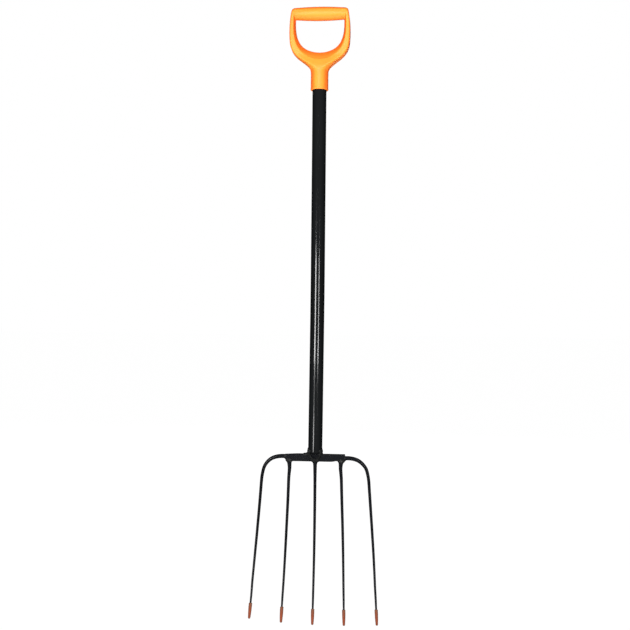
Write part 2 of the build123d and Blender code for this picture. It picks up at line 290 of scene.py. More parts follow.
# ==========================================================================
# D-handle
# ==========================================================================
outline_r = catmull(
    [
        (17.5, 1040.0), (17.5, 1070.0), (17.5, 1082.0), (17.9, 1090.0), (20.4, 1096.6),
        (23.8, 1101.0), (27.6, 1104.8), (32.8, 1108.9), (38.6, 1112.9), (43.9, 1116.9),
        (48.2, 1120.9), (51.9, 1125.3), (55.3, 1130.6), (57.9, 1137.0), (59.6, 1145.0),
        (60.5, 1156.0), (60.8, 1168.0), (60.5, 1180.0), (59.7, 1191.0), (58.6, 1200.0),
        (57.3, 1207.6), (56.3, 1211.6), (54.4, 1214.8), (51.2, 1216.5), (45.0, 1217.15),
        (30.0, 1218.15), (15.0, 1218.75), (0.0, 1218.9),
    ],
    8,
)
outline = np.vstack([outline_r, (outline_r[:-1] * [-1, 1])[::-1]])
mid_r = catmull(
    [
        (0.0, 1127.6), (12.0, 1128.9), (23.6, 1132.6), (31.6, 1137.2), (38.6, 1144.3),
        (43.2, 1152.6), (46.4, 1162.5), (48.0, 1173.0), (48.5, 1184.0), (48.5, 1196.0),
        (48.5, 1210.0),
    ],
    10,
)
face_r = catmull(
    [
        (0.0, 1113.4), (14.5, 1115.0), (27.4, 1119.6), (37.2, 1126.8), (44.4, 1136.0),
        (49.0, 1147.0), (51.6, 1159.0), (52.6, 1171.0), (52.7, 1184.0), (52.4, 1196.0),
        (52.0, 1210.0),
    ],
    10,
)
mid = np.vstack([mid_r, (mid_r[1:] * [-1, 1])[::-1]])
face = np.vstack([face_r, (face_r[1:] * [-1, 1])[::-1]])
PLAN_LO, PLAN_HI = (-66, 1038), (66, 1226)
plan_h = 0.5
D_out = Plan(outline, PLAN_LO, PLAN_HI, plan_h)
D_mid = Plan(mid, PLAN_LO, PLAN_HI, plan_h)
D_face = Plan(face, PLAN_LO, PLAN_HI, plan_h)


def handle_field(x, y, z):
    y = y - SHAFT_Y
    x = np.abs(x)
    neck = step((1124.0 - z) / 30.0)
    depth = 12.0 + 5.5 * neck
    edge = 3.8 + 13.6 * step((1109.0 - z) / 21.0)
    out = D_out(x, z)
    # a fine parting line runs round the middle of the moulding
    seam = 0.13 * np.exp(-((y / 0.42) ** 2)) * step((z - 1056) / 4)
    out = out + seam
    slab = np.hypot(y, np.maximum(z - GRIP_Z, 0)) - depth
    body = both(out, slab, edge)
    # the opening's wall swells to a ridge in the middle of the depth
    t = np.abs(y) / 12.0
    t = (np.sqrt(t * t + 0.0144) - 0.12) / 0.8871
    g = 0.80 * t + 0.20 * (1 - np.sqrt(np.maximum(1 - np.minimum(t, 1.0) ** 2 * 0.97, 0)))
    wide = (1 - g) * D_mid(x, z) + g * D_face(x, z)
    body = both(body, -wide, 0.7)
    r = GRIP_R_MID - (GRIP_R_MID - GRIP_R_END) * (x / GRIP_HALF) ** 2
    grip = np.hypot(y, z - GRIP_Z) - r
    grip = both(grip, x - (GRIP_HALF + 1.5), 6.0)
    grip = both(grip, out, 1.5)
    body = either(body, grip, 2.2)
    rr = np.hypot(x, y)
    lip = both(rr - SOCKET_LIP_R, np.abs(z - (SOCKET_BOTTOM + 2.0)) - 2.0, 1.1)
    body = both(body, SOCKET_BOTTOM - z, 1.3)
    body = either(body, lip, 0.5)
    bore = both(rr - (TUBE_R + 0.22), z - (TUBE_TOP + 0.5), 0.3)
    mouth = rr - (TUBE_R + 0.22) - np.maximum(SOCKET_BOTTOM + 0.9 - z, 0) * 0.8
    bore = np.minimum(bore, mouth + np.maximum(z - SOCKET_BOTTOM - 3, 0))
    body = both(body, -bore, 0.35)
    # recess for the screw head at the back
    rs = np.hypot(x, z - SCREW_Z)
    recess = both(rs - 4.5, (SOCKET_R - 1.6) - y, 0.2)
    body = both(body, -recess, 0.45)
    return body


handle = solid_mesh(
    "d_handle_moulding", handle_field, (-62.4, SHAFT_Y - 19.2, 1050.0), (62.4, SHAFT_Y + 19.2, 1221.0),
    0.75,
)

# ==========================================================================
# handle screw: pan head with a cross recess, and its shank
# ==========================================================================


def screw_field(x, y, z):
    y = y - (SHAFT_Y + SOCKET_R)  # 0 at the socket's surface, + outwards
    z = z - SCREW_Z
    r = np.hypot(x, z)
    head = both(r - 4.2, np.abs(y + 0.85) - 0.75, 0.25)
    dome = np.sqrt(x * x + z * z + (y + 9.6) ** 2) - 9.5
    head = both(head, dome, 0.15)
    taper = 0.9 + 0.5 * np.clip(y + 1.3, 0, 2)
    ax, az = np.abs(x), np.abs(z)
    blade = np.minimum(both(ax - 0.42, az - 2.0 * taper, 0.05), both(az - 0.42, ax - 2.0 * taper, 0.05))
    cone = r - 1.0 * taper
    slot = np.maximum(np.minimum(blade, cone), -1.25 - y)
    head = both(head, -slot, 0.12)
    pitch = 0.12 * np.sin(2 * math.pi * y / 1.2 + np.arctan2(z, x))
    shank = both(r - 1.85 - pitch, np.abs(y + 4.6) - 3.2, 0.4)
    return np.minimum(head, shank)


screw = solid_mesh(
    "handle_screw_head", screw_field, (-4.6, SHAFT_Y + SOCKET_R - 8.2, SCREW_Z - 4.6),
    (4.6, SHAFT_Y + SOCKET_R + 0.6, SCREW_Z + 4.6), 0.14, settle=3,
)

# ==========================================================================
# tube
# ==========================================================================


def rings_object(name, rings, caps=True, smooth=True):
    """Closed rings of equal count joined with quads, the ends closed with one face each."""
    n = len(rings[0])
    p = np.vstack(rings)
    faces = []
    for i in range(len(rings) - 1):
        a, b = i * n, (i + 1) * n
        for k in range(n):
            m = (k + 1) % n
            faces.append((a + k, a + m, b + m, b + k))
    if caps:
        faces.append(tuple(range(n - 1, -1, -1)))
        faces.append(tuple((len(rings) - 1) * n + k for k in range(n)))
    return mesh_object(name, p, faces, smooth)


def tube_mesh():
    n = 72
    zs = [1103.6, 1103.0] + list(np.arange(1090, 710, -12.0)) + list(np.arange(706, 558, -4.0)) + list(np.arange(552, 352, -10.0))
    zs += [346, 340, 336, 332.5, 329.4]
    th = np.linspace(0, 2 * math.pi, n, endpoint=False)
    rings = []

    def ring(z, r):
        cy = float(tube_y(z))
        a = math.asin(min(max((BEND_TOP - z) / bend_r, 0), math.sin(BEND)))
        # section square to the axis, which leans by a
        x = r * np.cos(th)
        q = r * np.sin(th)
        return np.stack([x, cy + q * math.cos(a), z - q * math.sin(a) * 1.0], 1)

    first = ring(1104.0, TUBE_R - 0.5)
    rings.append(first)
    rings.append(ring(zs[0], TUBE_R - 0.12))
    for z in zs[1:]:
        rings.append(ring(z, TUBE_R))
    outer = len(rings)
    inner = [ring(z, TUBE_R - TUBE_WALL) for z in [329.4, 360, 440, 520, 558, 594, 630, 666, 703, 800, 950, 1103.2]]
    rings += inner
    rings.append(ring(1104.0, TUBE_R - TUBE_WALL + 0.3))
    p = np.vstack(rings)
    faces = []
    m = len(rings)
    for i in range(m):
        a, b = i * n, ((i + 1) % m) * n
        for k in range(n):
            j = (k + 1) % n
            faces.append((a + j, a + k, b + k, b + j))
    return mesh_object("shaft_tube_coated", p, faces)


tube = tube_mesh()

# ==========================================================================
# tines: drawn rods, oval in section, swept along their bent centre lines
# ==========================================================================
TIP_Y, TIP_RISE_Y = -54.1, 0.231
TIPS = {
    "outer_left": (-124.1, 8.0, 0.057),
    "inner_left": (-61.5, 2.4, 0.030),
    "center": (0.0, 0.0, 0.0),
    "inner_right": (61.5, 0.4, -0.030),
    "outer_right": (125.4, 3.0, -0.062),
}
TIP_END_GAP, TIP_END_R, TIP_NECK_R, TIP_STRAIGHT = 3.2, 1.45, 2.1, 38.0
PROFILE = [
    (280.5, -21.9, 6.3, 7.8), (256.5, -21.2, 6.0, 7.5), (232.7, -20.9, 5.8, 7.2),
    (209, -21.2, 5.6, 6.9), (185.8, -22.0, 5.45, 6.6), (162, -23.5, 5.3, 6.3),
    (139, -25.7, 5.1, 6.0), (116, -28.8, 4.9, 5.6), (93.5, -32.9, 4.75, 5.2),
    (71, -37.8, 4.6, 4.9),
]
INNER_FOOT_X = 50.6
INNER_X = [52.1, 52.9, 53.7, 54.6, 55.5, 56.3, 57.1, 57.8, 58.5, 59.2]
OUTER_X = [105.8, 107.8, 109.6, 111.4, 113.2, 114.9, 116.6, 118.1, 119.5, 120.8]
ARCH = [
    (63.5, 322.6, 8.3, 8.6), (68.5, 322.4, 8.2, 8.6), (74, 321.7, 8.1, 8.5),
    (80, 320.2, 7.9, 8.5), (85.5, 317.9, 7.7, 8.4), (90.4, 314.6, 7.5, 8.3),
    (94.7, 310.5, 7.2, 8.3), (98.3, 305.8, 6.9, 8.2), (101.1, 300.6, 6.7, 8.1),
    (103.2, 294, 6.6, 8.0),
]
ARCH_ROOT_Z, ARCH_ROOT_W = 322.3, 8.4
ARCH_SHIFT = {"outer_left": 0.5, "outer_right": -1.3}
FOOT = [
    (-7.0, 0.4, 11.4, 8.7, 3.0), (0.0, 0.5, 11.8, 8.8, 2.7), (2.2, 0.5, 9.7, 8.6, 2.5),
    (5.2, 0.3, 8.5, 8.4, 2.3), (9.0, 0.1, 7.8, 8.2, 2.1), (14.0, 0.0, 7.3, 8.1, 2.0),
]
FOOT_MIDDLE = [
    (-7.0, 0.0, 13.4, 8.7, 3.0), (0.0, 0.0, 14.6, 8.8, 2.7), (1.8, 0.0, 10.8, 8.6, 2.4),
    (4.2, 0.0, 8.4, 8.4, 2.2), (8.0, 0.0, 7.5, 8.2, 2.1), (14.0, 0.0, 7.2, 8.1, 2.0),
]
bar_mid = np.array([0, BAR_Y, BAR_TOP - BAR_HEIGHT / 2])
BAR_LOW = BAR_TOP - BAR_HEIGHT


def unit(v):
    v = np.asarray(v, float)
    return v / np.linalg.norm(v)


def tine_stations(name):
    tx, tz, lean = TIPS[name]
    up = unit((lean, TIP_RISE_Y, 1))
    tip = np.array([tx, SHAFT_Y + TIP_Y, tz])
    s = 1 if tx > 0 else -1
    st = []
    if name.startswith("outer"):
        move = ARCH_SHIFT[name]
        for x in (BAR_HALF - 8.0, BAR_HALF):
            st.append((s * x, BAR_Y, ARCH_ROOT_Z + move, ARCH_ROOT_W, 8.6, 2.3))
        for x, z, w, d in ARCH:
            y = BAR_Y + max(0.0, 322.0 - z) / 22.0 * 0.6
            z += move * max(0.0, min(1.0, (107.0 - x) / 12.0))
            st.append((s * x, y, z, w, d, 2.0))
        xs = OUTER_X
    else:
        middle = name == "center"
        xs = [0.0] * len(PROFILE) if middle else INNER_X
        for below, shift, w, d, power in FOOT_MIDDLE if middle else FOOT:
            x = 0.0 if middle else s * (INNER_FOOT_X + shift)
            y = BAR_Y + 0.06 * max(0.0, below - 5.0)
            st.append((x, y, BAR_LOW - below, w, d, power))
    for i in range(len(PROFILE)):
        z, y, w, d = PROFILE[i]
        drop = tz * max(0.0, 1 - z / 185.0)
        st.append((s * xs[i], SHAFT_Y + y, z + drop, w, d, 2.0))
    above = tip + up * (TIP_END_GAP + TIP_STRAIGHT + 7.0)
    st.append((*above, 4.35, 4.5, 2.0))
    for part_way in (1.0, 0.85, 0.7, 0.5, 0.3, 0.15, 0.0):
        at = tip + up * (TIP_END_GAP + part_way * TIP_STRAIGHT)
        dia = 2 * (TIP_END_R + (TIP_NECK_R - TIP_END_R) * part_way)
        st.append((*at, dia, dia, 2.0))
    return np.array(st)


def tine_mesh(name):
    st = tine_stations(name)
    line = catmull(st, 6)
    # even the spacing: close together where the section changes
    seg = np.linalg.norm(np.diff(line[:, :3], axis=0), axis=1)
    s = np.concatenate([[0], np.cumsum(seg)])
    target = np.concatenate([np.arange(0, 60, 1.0), np.arange(60, s[-1], 2.6), [s[-1]]])
    if name.startswith("outer"):
        target = np.concatenate([np.arange(0, 110, 1.5), np.arange(110, s[-1], 2.6), [s[-1]]])
    line = np.stack([np.interp(target, s, line[:, c]) for c in range(6)], 1)
    n = 32
    th = np.linspace(0, 2 * math.pi, n, endpoint=False)
    rings = []
    for i in range(len(line)):
        a, b = line[max(i - 1, 0)], line[min(i + 1, len(line) - 1)]
        along = unit(a[:3] - b[:3])
        side = unit(np.cross((0, 1, 0), along))
        deep = np.cross(along, side)
        w, d, power = line[i, 3:]
        c, q = np.cos(th), np.sin(th)
        u = w / 2 * np.sign(c) * np.abs(c) ** (2 / power)
        v = d / 2 * np.sign(q) * np.abs(q) ** (2 / power)
        rings.append(line[i, :3] + u[:, None] * side + v[:, None] * deep)
    # round off the buried tip
    last, up = line[-1], unit(line[-2, :3] - line[-1, :3])
    rings[-1] = last[:3] + up * 0.45 + (rings[-1] - last[:3])
    rings.append(last[:3] + up * 0.12 + (rings[-1] - last[:3] - up * 0.45) * 0.78)
    rings.append(last[:3] + (rings[-1] - last[:3] - up * 0.12) * 0.45)
    return rings_object(f"tine_{name}_rod", rings)


tines = {n: tine_mesh(n) for n in TIPS}

# ==========================================================================
# crossbar and welds
# ==========================================================================


def bar_field(x, y, z):
    v, w = y - BAR_Y, z - bar_mid[2]
    # a forged strap, its lower corners turned up under the arches; the left end is
    # dressed down to the arch, the right end keeps its square shoulder
    lift = np.where(x < 0, 4.9, 3.1)
    low = -BAR_HEIGHT / 2 + lift * np.clip((np.abs(x) - 52.6) / 6.6, 0, 1.1) ** 1.3
    low = low + 1.6 * np.exp(-(((x - 42.5) / 6.5) ** 2))
    top = BAR_HEIGHT / 2 - 1.5 * np.clip((-x - 30.0) / 29.2, 0, 1.1) ** 1.5
    half, centre = (top - low) / 2, (top + low) / 2
    f = both(np.abs(v) - BAR_DEPTH / 2, np.abs(w - centre) - half, 1.3)
    f = both(f, np.abs(x) - BAR_HALF, 0.8)
    return f + 0.05 * waves(x, y, z, 9.0, 3)


bar = solid_mesh("crossbar_strap", bar_field, (-61.5, BAR_Y - 6.2, 310.5), (61.5, BAR_Y + 6.2, 332.5), 0.7)


def rod_field(name):
    """Distance to a tine near the crossbar."""
    st = tine_stations(name)
    line = catmull(st[:9 if name.startswith("outer") else 8], 5)

    def f(x, y, z):
        best = np.full(np.shape(x), 1e9)
        for i in range(len(line) - 1):
            a, b = line[i], line[i + 1]
            e = b[:3] - a[:3]
            L2 = max(float(e @ e), 1e-9)
            t = np.clip(((x - a[0]) * e[0] + (y - a[1]) * e[1] + (z - a[2]) * e[2]) / L2, 0, 1)
            px, py, pz = a[0] + e[0] * t, a[1] + e[1] * t, a[2] + e[2] * t
            w = (a[3] + (b[3] - a[3]) * t) / 2
            d = (a[4] + (b[4] - a[4]) * t) / 2
            along = unit(-e)
            side = unit(np.cross((0, 1, 0), along))
            deep = np.cross(along, side)
            rx, ry, rz = x - px, y - py, z - pz
            u = rx * side[0] + ry * side[1] + rz * side[2]
            v = rx * deep[0] + ry * deep[1] + rz * deep[2]
            q = rx * along[0] + ry * along[1] + rz * along[2]
            k = np.sqrt((u / w) ** 2 + (v / d) ** 2)
            radial = (k - 1) * np.minimum(w, d)
            past = np.abs(q) > 1e-6
            best = np.minimum(best, np.where(past, np.hypot(np.maximum(radial, 0), q), radial))
        return best

    return f


def joint_weld(name):
    rod = rod_field(name)
    outer = name.startswith("outer")
    s = 1 if TIPS[name][0] > 0 else -1
    if outer:
        centre = (s * (BAR_HALF + 0.3), BAR_Y, ARCH_ROOT_Z + ARCH_SHIFT[name])
        size = (5.2, 5.4, 6.2)
        blend = 1.6 if s < 0 else 1.0
    else:
        x0 = s * (INNER_FOOT_X + 1.2) if name != "center" else 0.0
        centre = (x0, BAR_Y, BAR_LOW + 0.3)
        size = (10.6, 5.9, 8.0) if x0 else (8.0, 5.9, 4.6)
        blend = 2.0
        arch = rod_field("outer_left" if s < 0 else "outer_right") if x0 else None

    def f(x, y, z):
        if outer:
            skin = either(bar_field(x, y, z), rod(x, y, z), blend)
        else:
            # fuller on the side away from the middle, where it runs up under the arch
            over = bar_field(x, y, z)
            r = blend
            if x0:
                over = either(over, arch(x, y, z), 1.0)
                r = blend + 4.2 * step((s * (x - x0) + 1.0) / 5.0)
            skin = either(over, rod(x, y, z), r)
        dx, dy, dz = x - centre[0], y - centre[1], z - centre[2]
        if outer:
            # a low bead round the butt joint
            ring = np.hypot(np.hypot(dy * 0.95, dz) - 3.45, dx + s * 0.2) - 0.65
        else:
            # a bead along the corner, front, back and round the sides
            q = np.sqrt((dx / 5.7) ** 2 + (dy / 4.55) ** 2)
            g = np.sqrt((dx / 5.7**2) ** 2 + (dy / 4.55**2) ** 2) / np.maximum(q, 1e-6)
            ring = np.hypot((q - 1) / np.maximum(g, 0.06), dz) - 0.75
        along = np.arctan2(dy, dx) * 8.0 + dx * 0.6
        bead = 0.09 * np.sin(along * 1.5 + 0.4 * waves(x, y, z, 6.0, 9)) + 0.06 * waves(x, y, z, 3.4, 11 + len(name))
        skin = either(skin + 0.06, ring - bead, 1.4)
        clip = (np.sqrt((dx / size[0]) ** 2 + (dy / size[1]) ** 2 + (dz / size[2]) ** 2) - 1) * min(size)
        return both(skin, clip, 0.8)

    lo = [c - q - 1 for c, q in zip(centre, size)]
    hi = [c + q + 1 for c, q in zip(centre, size)]
    return solid_mesh(f"weld_{name}_bead", f, lo, hi, 0.4)


joint_welds = {n: joint_weld(n) for n in TIPS}

foot_y = float(tube_y(BAR_TOP))


def tube_field(x, y, z):
    lean = foot_y + (z - BAR_TOP) * math.tan(BEND)
    return np.hypot(x, (y - lean) * math.cos(BEND)) - TUBE_R


def bowl_field(x, y, z):
    """The weld's bowl, which gathers the tube's end down onto the crossbar."""
    cy = foot_y + (z - BAR_TOP) * math.tan(BEND)
    w = z - BAR_TOP
    k = catmull(
        [(-18, -1.0), (-16.2, 5.6), (-14.4, 7.9), (-12.0, 9.2), (-9.0, 10.9), (-5.6, 12.8), (-2.0, 14.4), (2.0, 15.1), (6.0, 14.9), (10.0, 14.5), (15.0, 14.0), (18.0, 13.6)], 6
    )
    prof = np.interp(w, k[:, 0], k[:, 1]) + 0.7 * np.clip(-x / 14.0, 0, 1) * step((w + 4) / 8)
    f = (np.hypot(x, y - cy) - prof) * 0.82
    # its upper edge climbs at the sides and is low at the front and the back
    side = np.abs(x) / np.maximum(np.hypot(x, y - cy), 1e-6)
    return both(f, w - 4.4 - 8.0 * side**2 - 0.5 * np.sin(5.0 * np.arctan2(y - cy, x) + 0.6), 1.0)


def shaft_weld_field(x, y, z):
    ang = np.arctan2(y - foot_y, x)
    ripple = 0.16 * np.sin(ang * 26 + 0.5 * (z - 320) + waves(x, y, z, 9.0, 31))
    rough = 0.30 * waves(x, y, z, 5.6, 21) + 0.20 * waves(x, y, z, 2.8, 22) + ripple
    bowl = bowl_field(x, y, z)
    lump = (np.sqrt(((x + 17.5) / 8.4) ** 2 + ((y - BAR_Y + 0.6) / 4.6) ** 2 + ((z - 327.2) / 3.5) ** 2) - 1) * 3.3
    f = either(bowl, lump, 2.5)
    fil = either(tube_field(x, y, z), bar_field(x, y, z), 2.2) + 0.3
    near = (np.sqrt((x / 20.0) ** 2 + ((y - BAR_Y) / 18.0) ** 2 + ((z - 329.0) / 6.0) ** 2) - 1) * 6.0
    f = either(f, both(fil, near, 1.5), 1.2)
    return f - rough * step((341.5 - z) / 5.0) + 0.35 * step((z - 336.0) / 6.0)


shaft_weld = solid_mesh(
    "shaft_weld_collar", shaft_weld_field, (-29, BAR_Y - 12, 311.5), (25, foot_y + 18.5, 345.5), 0.55
)

# ==========================================================================
# tip guards
# ==========================================================================


def guard_mesh(name):
    tx, tz, lean = TIPS[name]
    up = unit((lean, TIP_RISE_Y, 1))
    tip = np.array([tx, SHAFT_Y + TIP_Y, tz])
    side = unit(np.cross((0, 1, 0), up))
    deep = np.cross(up, side)
    slope = (TIP_NECK_R - TIP_END_R) / TIP_STRAIGHT
    mouth = TIP_END_R + slope * (30.0 - TIP_END_GAP) + 0.15
    prof = [
        (0.0, 0.0), (0.62, 0.06), (1.24, 0.27), (1.75, 0.62), (2.09, 1.05), (2.29, 1.6), (2.41, 2.3),
        (2.51, 3.6), (2.62, 5.2), (2.76, 7.4), (2.93, 10.2), (3.08, 13.4), (3.20, 16.8), (3.29, 20.2),
        (3.33, 22.6), (3.34, 24.6), (3.33, 25.6), (3.22, 26.0), (3.22, 26.5), (3.33, 26.9), (3.34, 27.6),
        (3.34, 28.7), (3.30, 29.4), (3.18, 29.8), (2.98, 29.97), (2.6, 30.0), (mouth + 0.12, 29.95), (mouth, 29.7),
    ]
    prof += [
        (TIP_END_R + slope * (q - TIP_END_GAP) + 0.15, q) for q in (28, 25, 21, 17, 12, 7.5, 4.2)
    ]
    prof += [(TIP_END_R * 0.9, 3.3), (0.6, 3.16), (0.0, 3.15)]
    n = 40
    th = np.linspace(0, 2 * math.pi, n, endpoint=False)
    p, faces, rows = [], [], []
    seed = waves(np.array(tx), np.array(3.0), np.array(1.0), 30, 4)
    for r, q in prof:
        if r == 0.0:
            rows.append([len(p)])
            p.append(tip + up * q)
            continue
        row = []
        for a in th:
            rr = r
            if q > 1 and r > mouth + 0.3:
                # hand-dipped unevenness, always towards the steel
                rr = r - 0.05 - 0.05 * math.sin(2 * a + seed * 3) - 0.03 * math.sin(q * 0.55 + a + tx)
            zz = q
            if q > 29.3:
                zz = q - 0.12 - 0.12 * math.sin(a * 2 + tx)
            row.append(len(p))
            p.append(tip + up * zz + side * (rr * math.cos(a)) + deep * (rr * math.sin(a)))
        rows.append(row)
    for a, b in zip(rows, rows[1:]):
        for k in range(n):
            m = (k + 1) % n
            if len(a) == 1:
                faces.append((a[0], b[m], b[k]))
            elif len(b) == 1:
                faces.append((a[k], a[m], b[0]))
            else:
                faces.append((a[k], a[m], b[m], b[k]))
    return mesh_object(f"tip_guard_{name}_sleeve", p, faces)


guards = {n: guard_mesh(n) for n in TIPS}

# every shell faces outwards
import bmesh

for ob in [tube, *tines.values(), *guards.values(), bar, *joint_welds.values(), shaft_weld, handle, screw]:
    bm = bmesh.new()
    bm.from_mesh(ob.data)
    bmesh.ops.recalc_face_normals(bm, faces=bm.faces)
    bm.to_mesh(ob.data)
    bm.free()
    ob.data.update()

# ==========================================================================
# materials
# ==========================================================================


class Shader:
    def __init__(self, name):
        self.m = bpy.data.materials.new(name)
        self.m.use_nodes = True
        self.t = self.m.node_tree
        self.t.nodes.clear()
        self.out = self.t.nodes.new("ShaderNodeOutputMaterial")
        self.b = self.t.nodes.new("ShaderNodeBsdfPrincipled")
        self.t.links.new(self.b.outputs[0], self.out.inputs[0])
        self.c = self.t.nodes.new("ShaderNodeTexCoord")

    def node(self, kind, **props):
        n = self.t.nodes.new(kind)
        for k, v in props.items():
            setattr(n, k, v)
        return n

    def link(self, a, b):
        self.t.links.new(a, b)

    def noise(self, scale, detail=3.0, rough=0.5, stretch=None, distortion=0.0):
        n = self.node("ShaderNodeTexNoise")
        n.inputs["Scale"].default_value = scale
        n.inputs["Detail"].default_value = detail
        n.inputs["Roughness"].default_value = rough
        n.inputs["Distortion"].default_value = distortion
        if stretch:
            mp = self.node("ShaderNodeMapping")
            mp.inputs["Scale"].default_value = stretch
            self.link(self.c.outputs["Object"], mp.inputs["Vector"])
            self.link(mp.outputs[0], n.inputs["Vector"])
        else:
            self.link(self.c.outputs["Object"], n.inputs["Vector"])
        return n.outputs["Fac"]

    def ramp(self, fac, stops):
        r = self.node("ShaderNodeValToRGB")
        els = r.color_ramp.elements
        while len(els) > 1:
            els.remove(els[-1])
        els[0].position, els[0].color = stops[0][0], (*stops[0][1], 1)
        for pos, col in stops[1:]:
            e = els.new(pos)
            e.color = (*col, 1)
        self.link(fac, r.inputs["Fac"])
        return r.outputs["Color"]

    def range(self, fac, lo, hi, a=0.0, b=1.0):
        r = self.node("ShaderNodeMapRange")
        r.inputs["From Min"].default_value = a
        r.inputs["From Max"].default_value = b
        r.inputs["To Min"].default_value = lo
        r.inputs["To Max"].default_value = hi
        self.link(fac, r.inputs["Value"])
        return r.outputs["Result"]

    def mix(self, fac, a, b, kind="MIX"):
        m = self.node("ShaderNodeMix", data_type="RGBA", blend_type=kind)
        for sock, val in ((m.inputs["Factor"], fac), (m.inputs["A"], a), (m.inputs["B"], b)):
            pass
        ins = [i for i in m.inputs if i.enabled]
        for sock, val in zip(ins, (fac, a, b)):
            if isinstance(val, (int, float)):
                sock.default_value = val
            elif isinstance(val, tuple):
                sock.default_value = (*val, 1)
            else:
                self.link(val, sock)
        return [o for o in m.outputs if o.enabled][0]

    def bump(self, height, strength, distance, after=None):
        b = self.node("ShaderNodeBump")
        b.inputs["Strength"].default_value = strength
        b.inputs["Distance"].default_value = distance
        self.link(height, b.inputs["Height"])
        if after is not None:
            self.link(after, b.inputs["Normal"])
        return b.outputs["Normal"]

    def set(self, **kw):
        for k, v in kw.items():
            sock = self.b.inputs[k.replace("_", " ")]
            if isinstance(v, (int, float)):
                sock.default_value = v
            elif isinstance(v, tuple):
                sock.default_value = (*v, 1) if len(v) == 3 and sock.type == "RGBA" else v
            else:
                self.link(v, sock)


def orange_plastic():
    s = Shader("orange_plastic_grained")
    flow = s.noise(14.0, 3.0, 0.5, (1.0, 1.0, 0.5))
    fine = s.noise(900.0, 2.0, 0.55)
    speck = s.noise(260.0, 3.0, 0.6)
    base = s.ramp(flow, [(0.30, (0.90, 0.215, 0.019)), (0.55, (0.93, 0.235, 0.022)), (0.75, (0.95, 0.255, 0.026))])
    base = s.mix(s.range(speck, 0.0, 0.10, 0.35, 0.75), base, (0.98, 0.30, 0.04))
    geo = s.node("ShaderNodeNewGeometry")
    # painted shade: walls that turn away from the front and back faces are mixed to a deeper orange, standing in for
    # the shade a light in front leaves on them
    split = s.node("ShaderNodeSeparateXYZ")
    s.link(s.c.outputs["Normal"], split.inputs[0])
    flat = s.node("ShaderNodeMath", operation="ABSOLUTE")
    s.link(split.outputs[1], flat.inputs[0])
    deep = s.ramp(flat.outputs[0], [(0.15, (1, 1, 1)), (0.70, (0.92, 0.92, 0.92)), (0.93, (0, 0, 0))])
    # walls that face down get less of this painted shade and stay paler, painted light that lifts them out of the
    # shade beneath
    down = s.range(split.outputs[2], 0.30, 1.0, -0.70, -0.15)
    painted_shade_amount = s.node("ShaderNodeMath", operation="MULTIPLY")
    s.link(deep, painted_shade_amount.inputs[0])
    s.link(down, painted_shade_amount.inputs[1])
    # mix towards the deep orange of the painted shade
    base = s.mix(painted_shade_amount.outputs[0], base, (0.76, 0.128, 0.010))
    edge = s.range(geo.outputs["Pointiness"], 0.0, 0.25, 0.50, 0.58)
    base = s.mix(edge, base, (0.96, 0.30, 0.06))
    rough = s.range(speck, 0.36, 0.50, 0.3, 0.7)
    n = s.bump(fine, 0.22, 0.00022)
    n = s.bump(speck, 0.10, 0.0004, n)
    s.set(Base_Color=base, Roughness=rough, Normal=n, IOR=1.49, Specular_IOR_Level=0.42)
    s.set(Subsurface_Weight=0.02, Subsurface_Scale=0.002, Subsurface_Radius=(1.0, 0.35, 0.08))
    return s.m


def black_coat(name, base=(0.0032, 0.0034, 0.0036), rough=(0.20, 0.30), peel=0.10, spec=0.30, blue=0.0, fleck=0.0):
    """Powder-coated steel: orange peel, faint dust and handling marks."""
    s = Shader(name)
    big = s.noise(9.0, 3.0, 0.5, (1.0, 1.0, 0.25))
    skin = s.noise(420.0, 2.0, 0.5)
    grain = s.noise(1500.0, 2.0, 0.6)
    smear = s.noise(38.0, 5.0, 0.62, (1.6, 1.6, 0.22), 0.4)
    hi = tuple(c * 1.9 + k for c, k in zip(base, (0.0, 0.0006, 0.0012 + blue)))
    col = s.ramp(big, [(0.3, base), (0.7, hi)])
    dust = s.ramp(grain, [(0.60, (0, 0, 0)), (0.74, (0.006, 0.006, 0.0065))])
    col = s.mix(0.5 + fleck, col, dust, "ADD")
    r = s.range(smear, rough[0], rough[1], 0.32, 0.70)
    n = s.bump(skin, peel, 0.0005)
    n = s.bump(grain, peel * 0.3, 0.0002, n)
    s.set(Base_Color=col, Roughness=r, Normal=n, IOR=1.5, Specular_IOR_Level=spec)
    return s.m


def weld_coat():
    """The same coat over a rough weld: uneven, with its raised ridges painted a paler grey as a highlight."""
    s = Shader("painted_weld_rough")
    a = s.noise(300.0, 5.0, 0.65)
    b = s.noise(700.0, 4.0, 0.6)
    geo = s.node("ShaderNodeNewGeometry")
    # painted highlight: raised ridges of the bead are mixed to a paler grey, standing in for light caught on its rim
    ridge_highlight = s.range(geo.outputs["Pointiness"], 0.0, 1.0, 0.51, 0.60)
    col = s.ramp(a, [(0.34, (0.0045, 0.0047, 0.0047)), (0.56, (0.010, 0.0104, 0.0102)), (0.74, (0.034, 0.035, 0.034))])
    col = s.mix(s.range(ridge_highlight, 0.0, 0.5), col, (0.06, 0.061, 0.063))
    n = s.bump(a, 0.55, 0.0009)
    n = s.bump(b, 0.30, 0.0004, n)
    s.set(Base_Color=col, Roughness=s.range(b, 0.34, 0.62, 0.3, 0.7), Normal=n, IOR=1.5, Specular_IOR_Level=0.45)
    return s.m


def screw_steel():
    s = Shader("screw_steel_zinc")
    a = s.noise(600.0, 4.0, 0.6)
    b = s.noise(1800.0, 2.0, 0.5)
    col = s.ramp(a, [(0.3, (0.42, 0.42, 0.41)), (0.7, (0.62, 0.62, 0.63))])
    s.set(Base_Color=col, Metallic=1.0, Roughness=s.range(a, 0.24, 0.46, 0.3, 0.7), Normal=s.bump(b, 0.15, 0.0001))
    return s.m


